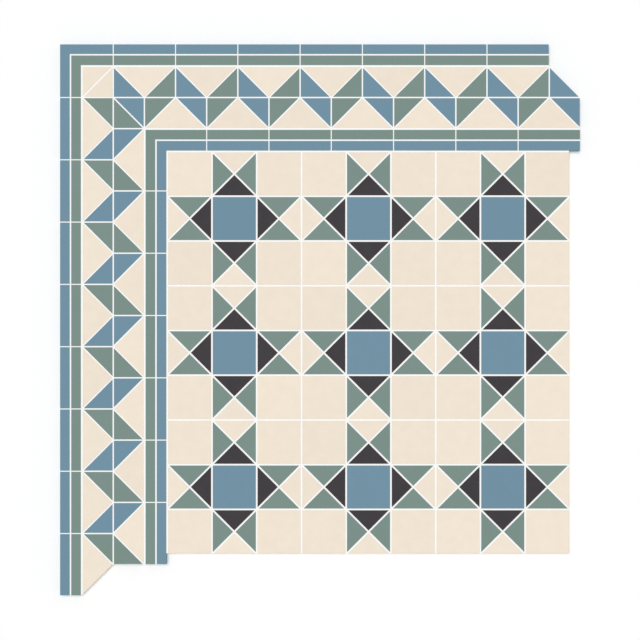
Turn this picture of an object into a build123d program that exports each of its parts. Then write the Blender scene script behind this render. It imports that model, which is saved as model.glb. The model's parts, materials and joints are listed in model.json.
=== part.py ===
from build123d import *
import math
import os

# A panel of Victorian geometric mosaic: a field of star blocks with a folded-ribbon border
# that turns one corner. The panel lies flat, tile faces up, with +Y towards the top border.

# Tiles, in millimetres
tile_thickness = 9.0
arris = 0.4                # softened edge round the face of every tile
square_side = 50.0         # whole square of the field

# Field of star blocks
field_joint = 2.0          # between the tiles of the field, and from the field to the border
blocks_across = 3
blocks_down = 3
cells_per_block = 3

# Ribbon border
ribbon_repeat = 72.4       # from one fold of the ribbon to the next
ribbon_joint = 1.6         # between the triangles of the ribbon
strip_width = 11.2
strip_end_joint = 1.2      # between one strip and the next along the border
strip_pair_joint = 1.75    # between the two strips of a pair
strip_ribbon_joint = 2.2   # between the ribbon and the strips beside it

# Grout
grout_recess = 0.5         # from the tile faces down to the grout

# The plan is set out from the crossing of the two ribbons' middle lines at the corner:
# the top border runs to +X, the left border runs to -Y, and the field lies between them.
cell = square_side + field_joint
fold = ribbon_repeat / 2
ribbon_edge = fold - ribbon_joint / 2
green_near = ribbon_edge + strip_ribbon_joint
green_far = green_near + strip_width
blue_near = green_far + strip_pair_joint
blue_far = blue_near + strip_width
field_start = blue_far + field_joint
field_right = field_start + blocks_across * cells_per_block * cell - field_joint
field_bottom = field_start + blocks_down * cells_per_block * cell - field_joint

# Each border runs on for whole repeats until its inner strips have passed the field
top_repeats = math.ceil((field_right - fold) / ribbon_repeat)
left_repeats = math.ceil((field_bottom - fold) / ribbon_repeat)
strip_inset = strip_end_joint / 2
top_reach = fold + top_repeats * ribbon_repeat - strip_inset
left_reach = (left_repeats + 1) * ribbon_repeat - strip_inset

# The part's origin is under the middle of the panel
middle_x = (top_reach - blue_far) / 2
middle_y = (blue_far - left_reach) / 2


def right_triangle(corner, direction, whole_leg, joint):
    """A right-angled tile with equal legs, half a joint in from a triangle on the setting-out lines.

    Its right angle lies at the corner and its long side faces the direction, in degrees.
    Returned as the right angle, then the ends of the legs, anticlockwise.
    """
    leg = whole_leg - joint * (1 + math.sqrt(0.5))
    inset = joint * math.sqrt(0.5)

    def step(point, length, angle):
        return (
            point[0] + length * math.cos(math.radians(angle)),
            point[1] + length * math.sin(math.radians(angle)),
        )

    tip = step(corner, inset, direction)
    return [tip, step(tip, leg, direction - 45), step(tip, leg, direction + 45)]


def rectangle(left, right, low, high):
    return [(left, low), (right, low), (right, high), (left, high)]


def corner_strip(outside, inside, reach):
    """The L-shaped strip that takes a border line round the corner in one piece."""
    return [
        (outside, -outside),
        (reach, -outside),
        (reach, -inside),
        (inside, -inside),
        (inside, -reach),
        (outside, -reach),
    ]


def left_hand(outlines):
    """Outlines of the top border, mirrored about the corner's diagonal onto the left border."""
    return [[(-v, -u) for u, v in outline] for outline in outlines]


def star_field():
    """The tiles of the field, by colour.

    A block has a whole blue square at its heart and whole cream squares at its corners.
    Each of the four cells between is quartered by its diagonals: charcoal towards the heart,
    green on both flanks and cream on the outside.
    """
    tiles = {"cream_square": [], "blue_square": [], "charcoal": [], "green": [], "cream": []}
    heart = cells_per_block // 2
    quarter_leg = cell * math.sqrt(0.5)
    for column in range(blocks_across * cells_per_block):
        for row in range(blocks_down * cells_per_block):
            x = field_start + square_side / 2 + column * cell
            y = -field_start - square_side / 2 - row * cell
            across = column % cells_per_block - heart
            up = heart - row % cells_per_block
            if across and up:
                kind = "cream_square"
            elif across or up:
                outward = math.degrees(math.atan2(up, across))
                for turn, colour in [(0, "cream"), (90, "green"), (180, "charcoal"), (270, "green")]:
                    tiles[colour].append(right_triangle((x, y), outward + turn, quarter_leg, field_joint))
                continue
            else:
                kind = "blue_square"
            half = square_side / 2
            tiles[kind].append(rectangle(x - half, x + half, y - half, y + half))
    return tiles


def ribbon_run(repeats, ends_on_cream):
    """One run of the ribbon, set out to the right: its leading, trailing and cream triangles.

    The outer row folds at every repeat and the inner row half a repeat later, so the small
    triangles of the two rows meet point to point along the middle line.
    The last tiles stop at a slant, as the two rows are out of step.
    """
    lead, trail, cream = [], [], []
    cream_leg = fold * math.sqrt(2)

    def small(u, direction):
        return right_triangle((u, 0), direction, fold, ribbon_joint)

    def large(u, direction):
        return right_triangle((u, 0), direction, cream_leg, ribbon_joint)

    for repeat in range(repeats):
        start = repeat * ribbon_repeat
        middle = start + fold
        end = start + ribbon_repeat
        lead += [small(start, 45), small(end + fold, 225)]
        trail += [small(end, 135), small(middle, 315)]
        cream += [large(middle, 90), large(end, 270)]
    inner_end = lead[-1]
    run_end = repeats * ribbon_repeat
    lead.append(small(run_end, 45))
    outer_end = [lead[-1][2], lead[-1][1]]
    if ends_on_cream:
        cream.append(large(run_end + fold, 90))
        outer_end = [cream[-1][1], cream[-1][0]]
    slant = outer_end + [inner_end[0], inner_end[2]]
    return lead, trail, cream, slant


def strips(first, count, offset, near, far):
    """A line of strips end to end, from the first repeat of the run."""
    starts = [offset + repeat * ribbon_repeat for repeat in range(first, count)]
    return [rectangle(u + strip_inset, u + ribbon_repeat - strip_inset, near, far) for u in starts]


def stepped_end(outer_reach, slant, inner_reach):
    """The free end of a border run, from its outside edge to its inside edge."""
    outer = [(outer_reach, blue_far), (outer_reach, green_near)]
    inner = [(inner_reach, -green_near), (inner_reach, -blue_far)]
    return outer + slant + inner


def plan(outline):
    """A flat face in the part's own frame."""
    return Polygon(*[(x - middle_x, y - middle_y) for x, y in outline], align=None)


def pressed_tile(outline):
    """One tile pressed to its outline, with the edge of its face softened."""
    blank = extrude(plan(outline), tile_thickness, dir=(0, 0, 1))
    return chamfer(blank.faces().sort_by(Axis.Z)[-1].edges(), arris)


def grout_bed(edge, outlines):
    """The grout: one lattice that fills every joint from the bedding face up to its recess."""
    lattice = plan(edge) - [plan(outline) for outline in outlines]
    return extrude(lattice, tile_thickness - grout_recess, dir=(0, 0, 1))


# Field
field = star_field()

# Ribbons of the two borders: blue leads on the top border, green leads on the left border
top_lead, top_trail, top_cream, top_slant = ribbon_run(top_repeats, ends_on_cream=False)
left_lead, left_trail, left_cream, left_slant = ribbon_run(left_repeats, ends_on_cream=True)

# Where the ribbons meet, the inner corner is one blue and one green triangle
# and the outer corner is a cream square cut in two
corner_blue = right_triangle((fold, 0), 225, fold, ribbon_joint)
corner_green = right_triangle((0, -fold), 45, fold, ribbon_joint)
corner_cream = [
    right_triangle((0, 0), 135, fold, ribbon_joint),
    right_triangle((-fold, fold), 315, fold, ribbon_joint),
]

# Strips: outside the ribbon they start at its first fold, inside it one and a half repeats later
inner_reach = fold + ribbon_repeat - strip_inset


def outer_strips(near, far):
    top = strips(0, top_repeats, 0, near, far)
    left = strips(0, left_repeats + 1, 0, near, far)
    return top + left_hand(left)


def inner_strips(near, far):
    top = strips(1, top_repeats, fold, -far, -near)
    left = strips(1, left_repeats, fold, -far, -near)
    return top + left_hand(left)


nodes = {
    "field_cream_squares": field["cream_square"],
    "field_blue_squares": field["blue_square"],
    "field_charcoal_triangles": field["charcoal"],
    "field_green_triangles": field["green"],
    "field_cream_triangles": field["cream"],
    "ribbon_blue_triangles": top_lead + left_hand(left_trail) + [corner_blue],
    "ribbon_green_triangles": top_trail + left_hand(left_lead) + [corner_green],
    "ribbon_cream_triangles": top_cream + left_hand(left_cream),
    "ribbon_corner_triangles": corner_cream,
    "outer_blue_strips": outer_strips(blue_near, blue_far),
    "outer_green_strips": outer_strips(green_near, green_far),
    "outer_blue_corner": [corner_strip(-blue_far, -blue_near, -strip_inset)],
    "outer_green_corner": [corner_strip(-green_far, -green_near, -strip_inset)],
    "inner_green_strips": inner_strips(green_near, green_far),
    "inner_blue_strips": inner_strips(blue_near, blue_far),
    "inner_green_corner": [corner_strip(green_near, green_far, inner_reach)],
    "inner_blue_corner": [corner_strip(blue_near, blue_far, inner_reach)],
}

# The panel's edge follows the tiles: square round the outer corner, stepped at the free ends
top_end = stepped_end(top_repeats * ribbon_repeat - strip_inset, top_slant, top_reach)
left_end = stepped_end(left_reach, left_slant, fold + left_repeats * ribbon_repeat - strip_inset)
field_corner = [(field_right, -blue_far), (field_right, -field_bottom), (blue_far, -field_bottom)]
panel_edge = [(-blue_far, blue_far)] + top_end + field_corner + left_hand([left_end])[0][::-1]

os.makedirs("parts", exist_ok=True)
for name, outlines in nodes.items():
    export_step(Compound([pressed_tile(outline) for outline in outlines]), f"parts/{name}.step")
every_outline = [outline for outlines in nodes.values() for outline in outlines]
export_step(grout_bed(panel_edge, every_outline), "parts/white_grout.step")
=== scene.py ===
"""A panel of Victorian geometric mosaic: pressed tiles with keyed backs, in struck white grout."""

import json
import math

import bmesh
import bpy
from mathutils import Matrix, Vector


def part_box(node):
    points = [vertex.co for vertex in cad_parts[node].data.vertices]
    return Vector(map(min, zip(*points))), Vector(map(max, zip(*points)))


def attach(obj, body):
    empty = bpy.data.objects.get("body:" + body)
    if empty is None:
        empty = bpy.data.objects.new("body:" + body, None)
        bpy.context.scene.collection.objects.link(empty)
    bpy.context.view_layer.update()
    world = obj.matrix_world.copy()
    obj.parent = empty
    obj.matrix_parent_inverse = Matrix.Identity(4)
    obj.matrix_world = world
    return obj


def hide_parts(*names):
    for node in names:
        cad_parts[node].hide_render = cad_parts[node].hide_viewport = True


bl_info = {
    "name": "Victorian Mosaic Panel",
    "version": (1, 0, 0),
    "blender": (4, 5, 0),
    "location": "3D View > Sidebar > Mosaic",
    "description": "Lays pressed tiles and struck grout over the frame of a geometric mosaic panel",
    "category": "Object",
}

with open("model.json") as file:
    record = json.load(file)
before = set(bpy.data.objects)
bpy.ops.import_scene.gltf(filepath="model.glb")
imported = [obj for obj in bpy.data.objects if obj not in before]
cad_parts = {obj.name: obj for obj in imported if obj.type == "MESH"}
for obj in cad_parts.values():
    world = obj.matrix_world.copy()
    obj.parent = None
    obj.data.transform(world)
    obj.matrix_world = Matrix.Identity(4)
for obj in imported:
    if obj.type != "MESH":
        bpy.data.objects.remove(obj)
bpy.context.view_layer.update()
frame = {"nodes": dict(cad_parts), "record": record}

BODY = "root"
SLOTS = {part["node"]: part["material_slot"] for part in frame["record"]["subparts"]}

# The frame's nodes, in groups of like pieces
FIELD_SQUARES = ["field_cream_squares", "field_blue_squares"]
FIELD_TRIANGLES = ["field_charcoal_triangles", "field_green_triangles", "field_cream_triangles"]
RIBBON_TRIANGLES = [
    "ribbon_blue_triangles",
    "ribbon_green_triangles",
    "ribbon_cream_triangles",
    "ribbon_corner_triangles",
]
STRIPS = ["outer_blue_strips", "outer_green_strips", "inner_green_strips", "inner_blue_strips"]
CORNER_STRIPS = [
    "outer_blue_corner",
    "outer_green_corner",
    "inner_green_corner",
    "inner_blue_corner",
]
GROUT = "white_grout"

TILE_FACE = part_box(FIELD_SQUARES[0])[1].z
GROUT_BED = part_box(GROUT)[1].z

# Names that the trees and the materials share
TURN = "turn"
TONE = "tile_tone"

# Points of the frame's meshes nearer than this are one point
WELD = 1e-6

# Corners of two outlines nearer than this lie on each other
SAME_CORNER = 1e-5

# A face whose normal points lower than this is a tile's back
FACING_DOWN = -0.99

# Material index that marks the part of a tile's back that takes grooves, while they are cut
LAND = 1

# A tile narrower than this many pitches of the grooves is a strip
STRIP_PITCHES = 3

# Share of the bed's height above which a point is on the grout's top
ON_TOP = 0.999

# The grout's edges that fold by more than this are its outer edges, and stay crisp
CRISP_FOLD = math.radians(40)

# Nearly all of a noise lies in this range, and its rare peaks in the other
NOISE = (0.3, 0.7)
NOISE_PEAKS = (0.66, 0.74)

# Roughness of the tiles and of the grout, and the faint gloss that both have
SATIN = (0.60, 0.68)
CHALKY = (0.82, 0.95)
FAINT_GLOSS = 0.2

FLECK_COLOUR = (0.02, 0.018, 0.016, 1.0)
WHITE = (1.0, 1.0, 1.0, 1.0)


def srgb(red, green, blue):
    """A colour given as it looks on a screen, in the linear values that shaders take."""
    shares = [value / 255 for value in (red, green, blue)]
    return tuple(s / 12.92 if s <= 0.04045 else ((s + 0.055) / 1.055) ** 2.4 for s in shares)


class MosaicTiles(bpy.types.PropertyGroup):
    """How the tiles are pressed."""

    arris: bpy.props.FloatProperty(
        name="Arris",
        description="Radius of the rolled edge round a tile's face",
        default=0.0004,
        min=0.0001,
        unit="LENGTH",
        precision=5,
    )
    arris_steps: bpy.props.IntProperty(
        name="Arris Steps",
        description="Facets across the rolled edge",
        default=4,
        min=1,
    )
    key_margin: bpy.props.FloatProperty(
        name="Key Margin",
        description="Plain rim round the keying grooves of a tile's back",
        default=0.0028,
        unit="LENGTH",
        precision=5,
    )
    key_pitch: bpy.props.FloatProperty(
        name="Key Pitch",
        description="From one keying groove to the next",
        default=0.0062,
        unit="LENGTH",
        precision=5,
    )
    key_width: bpy.props.FloatProperty(
        name="Key Width",
        description="Width of a keying groove",
        default=0.0031,
        unit="LENGTH",
        precision=5,
    )
    key_depth: bpy.props.FloatProperty(
        name="Key Depth",
        description="Depth of a keying groove",
        default=0.0005,
        unit="LENGTH",
        precision=5,
    )
    key_draft: bpy.props.FloatProperty(
        name="Key Draft",
        description="How far a groove's walls lean in from its mouth to its floor",
        default=0.0002,
        unit="LENGTH",
        precision=5,
    )


class MosaicFinishes(bpy.types.PropertyGroup):
    """Colours and surface of the tiles and the grout."""

    cream_tile: bpy.props.FloatVectorProperty(
        name="Cream",
        description="Body colour of the cream tiles",
        subtype="COLOR",
        default=srgb(239, 226, 209),
    )
    blue_tile: bpy.props.FloatVectorProperty(
        name="Blue",
        description="Body colour of the blue tiles",
        subtype="COLOR",
        default=srgb(108, 141, 160),
    )
    green_tile: bpy.props.FloatVectorProperty(
        name="Green",
        description="Body colour of the green tiles",
        subtype="COLOR",
        default=srgb(119, 140, 133),
    )
    charcoal_tile: bpy.props.FloatVectorProperty(
        name="Charcoal",
        description="Body colour of the charcoal tiles",
        subtype="COLOR",
        default=srgb(52, 48, 52),
    )
    white_grout: bpy.props.FloatVectorProperty(
        name="Grout",
        description="Colour of the grout",
        subtype="COLOR",
        default=srgb(251, 251, 249),
    )
    tone_spread: bpy.props.FloatProperty(
        name="Tone Spread",
        description="How much lighter or darker one tile is fired than the next",
        default=0.02,
        subtype="FACTOR",
    )
    clouding: bpy.props.FloatProperty(
        name="Clouding",
        description="Strength of the soft clouds in the clay",
        default=0.02,
        subtype="FACTOR",
    )
    fleck: bpy.props.FloatProperty(
        name="Fleck",
        description="Strength of the fine dark flecks in the clay",
        default=0.06,
        subtype="FACTOR",
    )


class MosaicGrout(bpy.types.PropertyGroup):
    """How the joints are struck."""

    lip: bpy.props.FloatProperty(
        name="Lip",
        description="How far the grout climbs the tiles above its bed",
        default=0.0001,
        unit="LENGTH",
        precision=5,
    )
    hollow: bpy.props.FloatProperty(
        name="Hollow",
        description="How far the middle of a joint is struck below the bed",
        default=0.0001,
        unit="LENGTH",
        precision=5,
    )
    half_joint: bpy.props.FloatProperty(
        name="Half Joint",
        description="From a tile's edge to the bottom of the hollow",
        default=0.0009,
        unit="LENGTH",
        precision=5,
    )
    shortest_edge: bpy.props.FloatProperty(
        name="Shortest Tile Edge",
        description="Edges shorter than this are open ends of joints, not tiles",
        default=0.008,
        unit="LENGTH",
        precision=5,
    )
    divisions: bpy.props.IntProperty(
        name="Divisions",
        description="How often the joints are halved across their width",
        default=2,
        min=1,
        max=3,
    )


class MosaicStage(bpy.types.PropertyGroup):
    """Floor, light and camera."""

    view_width: bpy.props.FloatProperty(
        name="View Width",
        description="What the camera takes in across the tile faces",
        default=0.7437,
        unit="LENGTH",
    )
    view_shift: bpy.props.FloatProperty(
        name="View Shift",
        description="How far the camera stands from the panel's middle, away from the top border",
        default=0.0002,
        unit="LENGTH",
        precision=5,
    )
    lens: bpy.props.FloatProperty(
        name="Lens",
        description="Focal length in millimetres",
        default=100.0,
        unit="CAMERA",
    )
    floor_radius: bpy.props.FloatProperty(
        name="Floor Radius",
        description="Half the width of the pale floor",
        default=12.0,
        unit="LENGTH",
    )
    sky_strength: bpy.props.FloatProperty(
        name="Sky",
        description="Brightness of the even light from all round",
        default=0.38,
    )
    sun_strength: bpy.props.FloatProperty(
        name="Key Light",
        description="Strength of the soft light from the upper left",
        default=1.98,
    )
    sun_softness: bpy.props.FloatProperty(
        name="Key Softness",
        description="How wide the key light looks from the panel",
        default=math.radians(32),
        subtype="ANGLE",
    )
    sun_turn: bpy.props.FloatVectorProperty(
        name="Key Direction",
        description="Turn of the key light about X, Y and Z",
        default=(math.radians(-8), math.radians(-7), 0.0),
        subtype="EULER",
    )


# Node trees

def shown_socket(sockets, key):
    """A socket by its place, or the one of that name that is in use."""
    if isinstance(key, int):
        return sockets[key]
    return next(socket for socket in sockets if socket.name == key and socket.enabled)


def add_node(tree, kind, inputs=None, **settings):
    """A node with its settings and inputs. An input is a value or another node's output."""
    node = tree.nodes.new(kind)
    for name, value in settings.items():
        setattr(node, name, value)
    for key, value in (inputs or {}).items():
        socket = shown_socket(node.inputs, key)
        if isinstance(value, bpy.types.NodeSocket):
            tree.links.new(value, socket)
        else:
            socket.default_value = value
    return node


def math_node(tree, operation, *values):
    return add_node(tree, "ShaderNodeMath", dict(enumerate(values)), operation=operation).outputs[0]


def geometry_tree(name, inputs):
    """An empty tree with named inputs besides its geometry. Returns the tree and its input node."""
    tree = bpy.data.node_groups.new(name, "GeometryNodeTree")
    for label, kind in [("Geometry", "Geometry"), *inputs]:
        tree.interface.new_socket(label, in_out="INPUT", socket_type="NodeSocket" + kind)
    tree.interface.new_socket("Geometry", in_out="OUTPUT", socket_type="NodeSocketGeometry")
    return tree, tree.nodes.new("NodeGroupInput")


def close_tree(tree, geometry, material):
    """Ends a tree: every instance made real, in one material."""
    real = add_node(tree, "GeometryNodeRealizeInstances", {"Geometry": geometry})
    finished = add_node(
        tree,
        "GeometryNodeSetMaterial",
        {"Geometry": real.outputs["Geometry"], "Material": material},
    )
    out = tree.nodes.new("NodeGroupOutput")
    tree.links.new(finished.outputs["Geometry"], out.inputs["Geometry"])


def tile_laying_tree():
    """Sets a tile on every setting-out point, turned as the point says, each in its own tone."""
    tree, given = geometry_tree(
        "lay_tiles",
        [("Tile", "Object"), ("Tone Seed", "Int"), ("Material", "Material")],
    )
    tile = add_node(tree, "GeometryNodeObjectInfo", {"Object": given.outputs["Tile"]})
    turn = add_node(tree, "GeometryNodeInputNamedAttribute", {"Name": TURN}, data_type="FLOAT")
    angles = add_node(tree, "ShaderNodeCombineXYZ", {"Z": turn.outputs["Attribute"]})
    rotation = add_node(tree, "FunctionNodeEulerToRotation", {"Euler": angles.outputs["Vector"]})
    laid = add_node(
        tree,
        "GeometryNodeInstanceOnPoints",
        {
            "Points": given.outputs["Geometry"],
            "Instance": tile.outputs["Geometry"],
            "Rotation": rotation.outputs["Rotation"],
        },
    )
    tone = add_node(
        tree,
        "FunctionNodeRandomValue",
        {"Min": -1.0, "Max": 1.0, "Seed": given.outputs["Tone Seed"]},
        data_type="FLOAT",
    )
    fired = add_node(
        tree,
        "GeometryNodeStoreNamedAttribute",
        {
            "Geometry": laid.outputs["Instances"],
            "Name": TONE,
            "Value": shown_socket(tone.outputs, "Value"),
        },
        data_type="FLOAT",
        domain="INSTANCE",
    )
    close_tree(tree, fired.outputs["Geometry"], given.outputs["Material"])
    return tree


def grout_striking_tree():
    """Hollows the top of the grout: high against the tiles, low along the middle of every joint."""
    tree, given = geometry_tree(
        "strike_joints",
        [
            ("Bed", "Float"),
            ("Lip", "Float"),
            ("Hollow", "Float"),
            ("Half Joint", "Float"),
            ("Shortest Tile Edge", "Float"),
            ("Divisions", "Int"),
            ("Material", "Material"),
        ],
    )
    place = add_node(tree, "GeometryNodeInputPosition")
    parts = add_node(tree, "ShaderNodeSeparateXYZ", {"Vector": place.outputs["Position"]})
    top = math_node(tree, "MULTIPLY", given.outputs["Bed"], ON_TOP)
    on_top = math_node(tree, "GREATER_THAN", parts.outputs["Z"], top)

    # Edges where the grout's top meets the side of a tile
    fold = add_node(tree, "GeometryNodeInputMeshEdgeAngle")
    folded = math_node(tree, "GREATER_THAN", fold.outputs["Unsigned Angle"], CRISP_FOLD)
    ends = add_node(tree, "GeometryNodeInputMeshEdgeVertices")
    length = add_node(
        tree,
        "ShaderNodeVectorMath",
        {0: ends.outputs["Position 1"], 1: ends.outputs["Position 2"]},
        operation="DISTANCE",
    ).outputs["Value"]
    along_tile = math_node(tree, "GREATER_THAN", length, given.outputs["Shortest Tile Edge"])
    tile_edge = math_node(tree, "MULTIPLY", math_node(tree, "MULTIPLY", on_top, folded), along_tile)
    edges = add_node(
        tree,
        "GeometryNodeSeparateGeometry",
        {"Geometry": given.outputs["Geometry"], "Selection": tile_edge},
        domain="EDGE",
    )

    fine = add_node(
        tree,
        "GeometryNodeSubdivideMesh",
        {"Mesh": given.outputs["Geometry"], "Level": given.outputs["Divisions"]},
    )
    near = add_node(
        tree,
        "GeometryNodeProximity",
        {0: edges.outputs["Selection"]},
        target_element="EDGES",
    )
    share = add_node(
        tree,
        "ShaderNodeMapRange",
        {
            "Value": near.outputs["Distance"],
            "From Min": 0.0,
            "From Max": given.outputs["Half Joint"],
            "To Min": 1.0,
            "To Max": 0.0,
        },
    ).outputs["Result"]
    climb = math_node(tree, "ADD", given.outputs["Lip"], given.outputs["Hollow"])
    raised = math_node(tree, "MULTIPLY", math_node(tree, "MULTIPLY", share, share), climb)
    shift = add_node(
        tree,
        "ShaderNodeCombineXYZ",
        {"Z": math_node(tree, "SUBTRACT", raised, given.outputs["Hollow"])},
    )
    struck = add_node(
        tree,
        "GeometryNodeSetPosition",
        {
            "Geometry": fine.outputs["Mesh"],
            "Selection": on_top,
            "Offset": shift.outputs["Vector"],
        },
    )

    # The hollow is smooth, and the grout's outer edges stay crisp
    smooth = add_node(
        tree,
        "GeometryNodeSetShadeSmooth",
        {"Geometry": struck.outputs["Geometry"], "Shade Smooth": True},
    )
    crisp = add_node(
        tree,
        "GeometryNodeSetShadeSmooth",
        {"Geometry": smooth.outputs["Geometry"], "Selection": folded, "Shade Smooth": False},
        domain="EDGE",
    )
    close_tree(tree, crisp.outputs["Geometry"], given.outputs["Material"])
    return tree


def run_tree(piece, tree, values):
    """Runs a tree on a piece and keeps the result as the piece's plain mesh."""
    modifier = piece.modifiers.new(tree.name, "NODES")
    modifier.node_group = tree
    for item in tree.interface.items_tree:
        if item.in_out == "INPUT" and item.name in values:
            modifier[item.identifier] = values[item.name]
    depsgraph = bpy.context.evaluated_depsgraph_get()
    made = bpy.data.meshes.new_from_object(piece.evaluated_get(depsgraph), depsgraph=depsgraph)
    piece.modifiers.remove(modifier)
    rough = piece.data
    piece.data = made
    made.name = piece.name
    bpy.data.meshes.remove(rough)
    if not made.polygons:
        raise RuntimeError(f"{piece.name} came out with no faces")


# Finishes

def surface(name):
    """A new material: its tree, its shader and the panel's own coordinates."""
    material = bpy.data.materials.new(name)
    material.use_nodes = True
    tree = material.node_tree
    shader = tree.nodes["Principled BSDF"]
    place = tree.nodes.new("ShaderNodeTexCoord").outputs["Object"]
    return material, tree, shader, place


def noise(tree, place, size, detail, roughness=0.5):
    """Soft noise whose features are about that size, in metres."""
    node = add_node(
        tree,
        "ShaderNodeTexNoise",
        {"Vector": place, "Scale": 1 / size, "Detail": detail, "Roughness": roughness},
    )
    return node.outputs["Fac"]


def scaled(tree, value, low, high, to_low, to_high):
    node = add_node(
        tree,
        "ShaderNodeMapRange",
        {"Value": value, "From Min": low, "From Max": high, "To Min": to_low, "To Max": to_high},
    )
    return node.outputs["Result"]


def bump(tree, height, depth, strength):
    node = add_node(
        tree,
        "ShaderNodeBump",
        {"Height": height, "Distance": depth, "Strength": strength},
    )
    return node.outputs["Normal"]


def fired_clay(name, colour, finishes):
    """Unglazed pressed clay, coloured right through: a satin face, soft clouds and fine flecks."""
    material, tree, shader, place = surface(name)
    tone = add_node(tree, "ShaderNodeAttribute", attribute_name=TONE).outputs["Fac"]
    cloud = noise(tree, place, size=0.012, detail=3.0)
    grain = noise(tree, place, size=0.0009, detail=2.0)
    fleck = noise(tree, place, size=0.0011, detail=1.0)

    spread = math_node(tree, "MULTIPLY", tone, finishes.tone_spread)
    clouds = scaled(tree, cloud, *NOISE, -finishes.clouding, finishes.clouding)
    value = math_node(tree, "ADD", math_node(tree, "ADD", spread, clouds), 1.0)
    shade = add_node(
        tree,
        "ShaderNodeHueSaturation",
        {"Value": value, "Color": (*colour, 1.0)},
    )
    flecked = add_node(
        tree,
        "ShaderNodeMix",
        {
            "Factor": scaled(tree, fleck, *NOISE_PEAKS, 0.0, finishes.fleck),
            "A": shade.outputs["Color"],
            "B": FLECK_COLOUR,
        },
        data_type="RGBA",
    )
    tree.links.new(shown_socket(flecked.outputs, "Result"), shader.inputs["Base Color"])
    tree.links.new(scaled(tree, cloud, *NOISE, *SATIN), shader.inputs["Roughness"])
    tree.links.new(bump(tree, grain, depth=0.00004, strength=0.35), shader.inputs["Normal"])
    shader.inputs["Specular IOR Level"].default_value = FAINT_GLOSS
    return material


def cement_grout(name, colour):
    """Fine white cement grout: chalky, with the tooth of its sand."""
    material, tree, shader, place = surface(name)
    sand = noise(tree, place, size=0.0006, detail=3.0, roughness=0.6)
    patch = noise(tree, place, size=0.02, detail=2.0)
    value = math_node(
        tree,
        "ADD",
        scaled(tree, sand, *NOISE, 0.98, 1.0),
        scaled(tree, patch, *NOISE, -0.01, 0.0),
    )
    shade = add_node(tree, "ShaderNodeHueSaturation", {"Value": value, "Color": (*colour, 1.0)})
    tree.links.new(shade.outputs["Color"], shader.inputs["Base Color"])
    tree.links.new(scaled(tree, sand, *NOISE, *CHALKY), shader.inputs["Roughness"])
    tree.links.new(bump(tree, sand, depth=0.00006, strength=0.5), shader.inputs["Normal"])
    shader.inputs["Specular IOR Level"].default_value = FAINT_GLOSS
    return material


def finish_for(slot):
    """The material of a slot of the record, made the first time that it is asked for."""
    found = bpy.data.materials.get(f"{slot}_finish")
    if found:
        return found
    finishes = bpy.context.scene.mosaic_finishes
    colour = getattr(finishes, slot)
    if slot == SLOTS[GROUT]:
        return cement_grout(f"{slot}_finish", colour)
    return fired_clay(f"{slot}_finish", colour, finishes)


# Pieces

def new_piece(name, mesh):
    piece = bpy.data.objects.new(name, mesh)
    bpy.context.scene.collection.objects.link(piece)
    return piece


def welded_copy(node):
    """A node's solids with their loose triangles joined up, as a mesh to work on."""
    bm = bmesh.new()
    bm.from_mesh(frame["nodes"][node].data)
    bmesh.ops.remove_doubles(bm, verts=bm.verts, dist=WELD)
    return bm


def tile_outlines(node):
    """Every tile of a node, as its corners' offsets from its middle, and its middle."""
    bm = welded_copy(node)
    bmesh.ops.dissolve_limit(bm, angle_limit=math.radians(1), verts=bm.verts, edges=bm.edges)
    outlines = []
    for face in bm.faces:
        if face.normal.z < FACING_DOWN:
            corners = [Vector(vert.co.xy) for vert in reversed(face.verts)]
            middle = sum(corners, Vector((0, 0))) / len(corners)
            outlines.append(([corner - middle for corner in corners], middle))
    bm.free()
    return outlines


def sides(outline):
    """An outline's sides, from each corner to the next."""
    return [after - before for before, after in zip(outline, outline[1:] + outline[:1])]


def along_longest_side(outline):
    """The outline turned so that its longest side runs along X, as the keying grooves do."""
    longest = max(sides(outline), key=lambda side: side.length)
    turn = Matrix.Rotation(-math.atan2(longest.y, longest.x), 2)
    return [turn @ corner for corner in outline]


def turn_between(pattern, outline):
    """The turn, in eighths of a circle, that lays one tile's outline over another's."""
    for eighth in range(8):
        angle = eighth * math.pi / 4
        turned = [Matrix.Rotation(angle, 2) @ corner for corner in pattern]
        misses = [min((corner - other).length for other in outline) for corner in turned]
        if max(misses) < SAME_CORNER:
            return angle
    raise RuntimeError("a tile does not match the first of its kind")


def ribbed_grooves(bm, land, reach, tiles):
    """Cuts the land of a tile's back into rows along X, and returns those that are grooves."""
    land.material_index = LAND
    last = int(reach / tiles.key_pitch)
    rows = [row * tiles.key_pitch for row in range(-last, last + 1)]
    for row in rows:
        for side in (-0.5, 0.5):
            faces = [face for face in bm.faces if face.material_index == LAND]
            edges = {edge for face in faces for edge in face.edges}
            verts = {vert for face in faces for vert in face.verts}
            bmesh.ops.bisect_plane(
                bm,
                geom=[*faces, *edges, *verts],
                plane_co=(0.0, row + side * tiles.key_width, 0.0),
                plane_no=(0.0, 1.0, 0.0),
            )
    grooves = []
    for face in bm.faces:
        if face.material_index == LAND:
            xs = [vert.co.x for vert in face.verts]
            ys = [vert.co.y for vert in face.verts]
            middle = (min(ys) + max(ys)) / 2
            on_row = any(abs(middle - row) < tiles.key_draft for row in rows)
            whole = max(ys) - min(ys) > tiles.key_width - tiles.key_draft
            long_enough = max(xs) - min(xs) > 2 * tiles.key_width
            if on_row and whole and long_enough:
                grooves.append(face)
        face.material_index = 0
    return grooves


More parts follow.
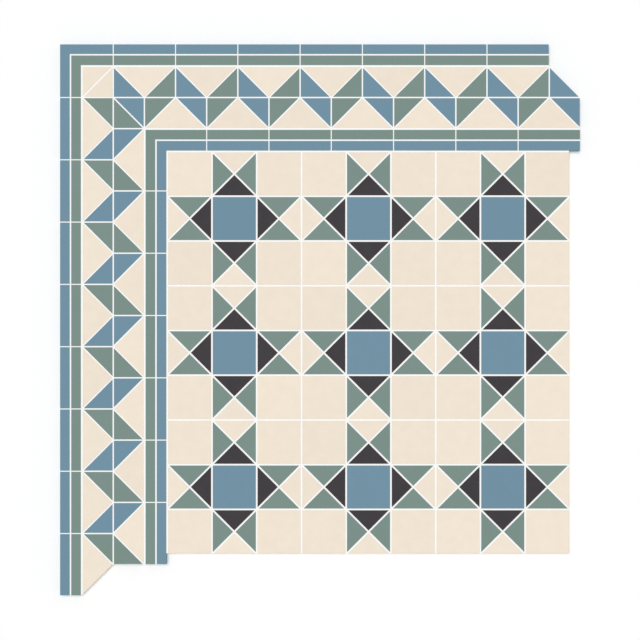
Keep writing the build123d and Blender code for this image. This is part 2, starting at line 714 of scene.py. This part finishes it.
def pressed_tile(name, outline, tiles):
    """One tile on its own middle: rolled arris, and keying grooves pressed into its back."""
    bm = bmesh.new()
    back = bm.faces.new([bm.verts.new((x, y, 0.0)) for x, y in reversed(outline)])
    raised = bmesh.ops.extrude_face_region(bm, geom=[back], use_keep_orig=True)["geom"]
    lifted = [item for item in raised if isinstance(item, bmesh.types.BMVert)]
    bmesh.ops.translate(bm, verts=lifted, vec=(0.0, 0.0, TILE_FACE))
    bmesh.ops.recalc_face_normals(bm, faces=bm.faces)
    rim = [edge for edge in bm.edges if all(vert.co.z > TILE_FACE / 2 for vert in edge.verts)]
    rolled = bmesh.ops.bevel(
        bm,
        geom=rim,
        offset=tiles.arris,
        offset_type="OFFSET",
        segments=tiles.arris_steps,
        profile=0.5,
        affect="EDGES",
        clamp_overlap=True,
    )
    for face in rolled["faces"]:
        face.smooth = True

    # A strip takes one groove along its middle, and a broader tile takes a row of them
    back = min(bm.faces, key=lambda face: face.calc_center_median().z)
    breadth = min(side.length for side in sides(outline))
    strip = breadth < STRIP_PITCHES * tiles.key_pitch
    rim_width = (breadth - tiles.key_width) / 2 if strip else tiles.key_margin
    bmesh.ops.inset_region(bm, faces=[back], thickness=rim_width, use_even_offset=True)
    reach = max(abs(y) for _, y in outline)
    bmesh.ops.inset_individual(
        bm,
        faces=[back] if strip else ribbed_grooves(bm, back, reach, tiles),
        thickness=tiles.key_draft,
        depth=-tiles.key_depth,
        use_even_offset=True,
    )
    mesh = bpy.data.meshes.new(name)
    bm.to_mesh(mesh)
    bm.free()
    return new_piece(name, mesh)


def stand_for(piece, node):
    """The piece takes the place of a node of the frame."""
    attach(piece, BODY)
    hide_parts(node)


def lay_tiles(node):
    """Lays a whole tile, pressed to the frame's outline, wherever this node has a tile."""
    tiles = bpy.context.scene.mosaic_tiles
    outlines = tile_outlines(node)
    if not outlines:
        raise RuntimeError(f"the frame has no tiles in {node}")
    pattern = along_longest_side(outlines[0][0])
    finish = finish_for(SLOTS[node])
    points = bpy.data.meshes.new(f"{node}_points")
    points.from_pydata([(*middle, 0.0) for _, middle in outlines], [], [])
    turns = points.attributes.new(TURN, "FLOAT", "POINT")
    turns.data.foreach_set("value", [turn_between(pattern, outline) for outline, _ in outlines])
    tile = pressed_tile(f"{node}_tile", pattern, tiles)
    tile.data.materials.append(finish)
    piece = new_piece(f"laid_{node}", points)
    tree = bpy.data.node_groups.get("lay_tiles") or tile_laying_tree()
    run_tree(piece, tree, {"Tile": tile, "Tone Seed": list(SLOTS).index(node), "Material": finish})
    bpy.data.meshes.remove(tile.data)  # takes the loose tile with it
    stand_for(piece, node)


class MOSAIC_OT_field_squares(bpy.types.Operator):
    """Lay the whole squares of the field"""

    bl_idname = "mosaic.field_squares"
    bl_label = "Field Squares"

    def execute(self, context):
        for node in FIELD_SQUARES:
            lay_tiles(node)
        return {"FINISHED"}


class MOSAIC_OT_field_triangles(bpy.types.Operator):
    """Lay the points of the stars and the cream triangles between them"""

    bl_idname = "mosaic.field_triangles"
    bl_label = "Field Triangles"

    def execute(self, context):
        for node in FIELD_TRIANGLES:
            lay_tiles(node)
        return {"FINISHED"}


class MOSAIC_OT_ribbon(bpy.types.Operator):
    """Lay the folded ribbon of the border and its cut corner square"""

    bl_idname = "mosaic.ribbon"
    bl_label = "Ribbon Triangles"

    def execute(self, context):
        for node in RIBBON_TRIANGLES:
            lay_tiles(node)
        return {"FINISHED"}


class MOSAIC_OT_strips(bpy.types.Operator):
    """Lay the narrow strips on both sides of the ribbon"""

    bl_idname = "mosaic.strips"
    bl_label = "Border Strips"

    def execute(self, context):
        for node in STRIPS:
            lay_tiles(node)
        return {"FINISHED"}


class MOSAIC_OT_corner_strips(bpy.types.Operator):
    """Lay the strips that turn the corner in one piece"""

    bl_idname = "mosaic.corner_strips"
    bl_label = "Corner Strips"

    def execute(self, context):
        for node in CORNER_STRIPS:
            lay_tiles(node)
        return {"FINISHED"}


class MOSAIC_OT_grout(bpy.types.Operator):
    """Strike the grout in every joint"""

    bl_idname = "mosaic.grout"
    bl_label = "Struck Grout"

    def execute(self, context):
        grout = context.scene.mosaic_grout
        bm = welded_copy(GROUT)
        mesh = bpy.data.meshes.new("grout_bed")
        bm.to_mesh(mesh)
        bm.free()

        # The frame's flat normals would hide the smooth hollow
        flat_normals = mesh.attributes.get("custom_normal")
        if flat_normals:
            mesh.attributes.remove(flat_normals)
        piece = new_piece("struck_grout", mesh)
        run_tree(
            piece,
            grout_striking_tree(),
            {
                "Bed": GROUT_BED,
                "Lip": grout.lip,
                "Hollow": grout.hollow,
                "Half Joint": grout.half_joint,
                "Shortest Tile Edge": grout.shortest_edge,
                "Divisions": grout.divisions,
                "Material": finish_for(SLOTS[GROUT]),
            },
        )
        stand_for(piece, GROUT)
        return {"FINISHED"}


# Stage

def pale_floor(radius):
    """A round white floor that takes the panel's shadow."""
    mesh = bpy.data.meshes.new("pale_floor")
    bm = bmesh.new()
    bmesh.ops.create_circle(bm, cap_ends=True, segments=64, radius=radius)
    bm.to_mesh(mesh)
    bm.free()
    floor = new_piece("pale_floor", mesh)
    material, _, shader, _ = surface("pale_floor_finish")
    shader.inputs["Base Color"].default_value = WHITE
    shader.inputs["Roughness"].default_value = 1.0
    shader.inputs["Specular IOR Level"].default_value = 0.0
    mesh.materials.append(material)


def white_sky(strength):
    """An even sky that lights the panel, and shows as plain white to the eye and in reflections."""
    world = bpy.data.worlds.new("studio")
    bpy.context.scene.world = world
    world.use_nodes = True
    tree = world.node_tree
    tree.nodes.clear()
    path = tree.nodes.new("ShaderNodeLightPath")
    seen = path.outputs["Is Camera Ray"]
    for ray in ("Is Glossy Ray", "Is Transmission Ray"):
        seen = math_node(tree, "MAXIMUM", seen, path.outputs[ray])
    light = add_node(tree, "ShaderNodeBackground", {"Color": WHITE, "Strength": strength})
    white = add_node(tree, "ShaderNodeBackground", {"Color": WHITE, "Strength": 1.0})
    mixed = add_node(
        tree,
        "ShaderNodeMixShader",
        {0: seen, 1: light.outputs["Background"], 2: white.outputs["Background"]},
    )
    out = tree.nodes.new("ShaderNodeOutputWorld")
    tree.links.new(mixed.outputs["Shader"], out.inputs["Surface"])


class MOSAIC_OT_stage(bpy.types.Operator):
    """Set the pale floor, the soft light and the camera that looks straight down"""

    bl_idname = "mosaic.stage"
    bl_label = "Stage"

    def execute(self, context):
        scene = context.scene
        stage = scene.mosaic_stage
        pale_floor(stage.floor_radius)
        white_sky(stage.sky_strength)

        lamp = bpy.data.lights.new("key_light", "SUN")
        lamp.energy = stage.sun_strength
        lamp.angle = stage.sun_softness
        key = bpy.data.objects.new("key_light", lamp)
        key.rotation_euler = stage.sun_turn
        scene.collection.objects.link(key)

        lens = bpy.data.cameras.new("plan_camera")
        lens.lens = stage.lens
        camera = bpy.data.objects.new("plan_camera", lens)
        distance = stage.view_width * lens.lens / lens.sensor_width
        camera.location = (0.0, -stage.view_shift, TILE_FACE + distance)
        scene.collection.objects.link(camera)
        scene.camera = camera
        scene.view_settings.view_transform = "Standard"
        return {"FINISHED"}


OPERATORS = [
    MOSAIC_OT_field_squares,
    MOSAIC_OT_field_triangles,
    MOSAIC_OT_ribbon,
    MOSAIC_OT_strips,
    MOSAIC_OT_corner_strips,
    MOSAIC_OT_grout,
    MOSAIC_OT_stage,
]
SETTINGS = {
    "mosaic_tiles": MosaicTiles,
    "mosaic_finishes": MosaicFinishes,
    "mosaic_grout": MosaicGrout,
    "mosaic_stage": MosaicStage,
}


class MOSAIC_PT_panel(bpy.types.Panel):
    """The settings and the steps of the mosaic panel"""

    bl_idname = "MOSAIC_PT_panel"
    bl_label = "Mosaic Panel"
    bl_space_type = "VIEW_3D"
    bl_region_type = "UI"
    bl_category = "Mosaic"

    def draw(self, context):
        for name, group in SETTINGS.items():
            box = self.layout.box()
            for key in group.__annotations__:
                box.prop(getattr(context.scene, name), key)
        for operator in OPERATORS:
            self.layout.operator(operator.bl_idname)


CLASSES = [*SETTINGS.values(), *OPERATORS, MOSAIC_PT_panel]


def register():
    for cls in CLASSES:
        bpy.utils.register_class(cls)
    for name, group in SETTINGS.items():
        setattr(bpy.types.Scene, name, bpy.props.PointerProperty(type=group))


def unregister():
    for name in SETTINGS:
        delattr(bpy.types.Scene, name)
    for cls in reversed(CLASSES):
        bpy.utils.unregister_class(cls)


def main():
    register()
    bpy.ops.mosaic.field_squares()
    bpy.ops.mosaic.field_triangles()
    bpy.ops.mosaic.ribbon()
    bpy.ops.mosaic.strips()
    bpy.ops.mosaic.corner_strips()
    bpy.ops.mosaic.grout()
    bpy.ops.mosaic.stage()


if __name__ == "__main__":
    main()
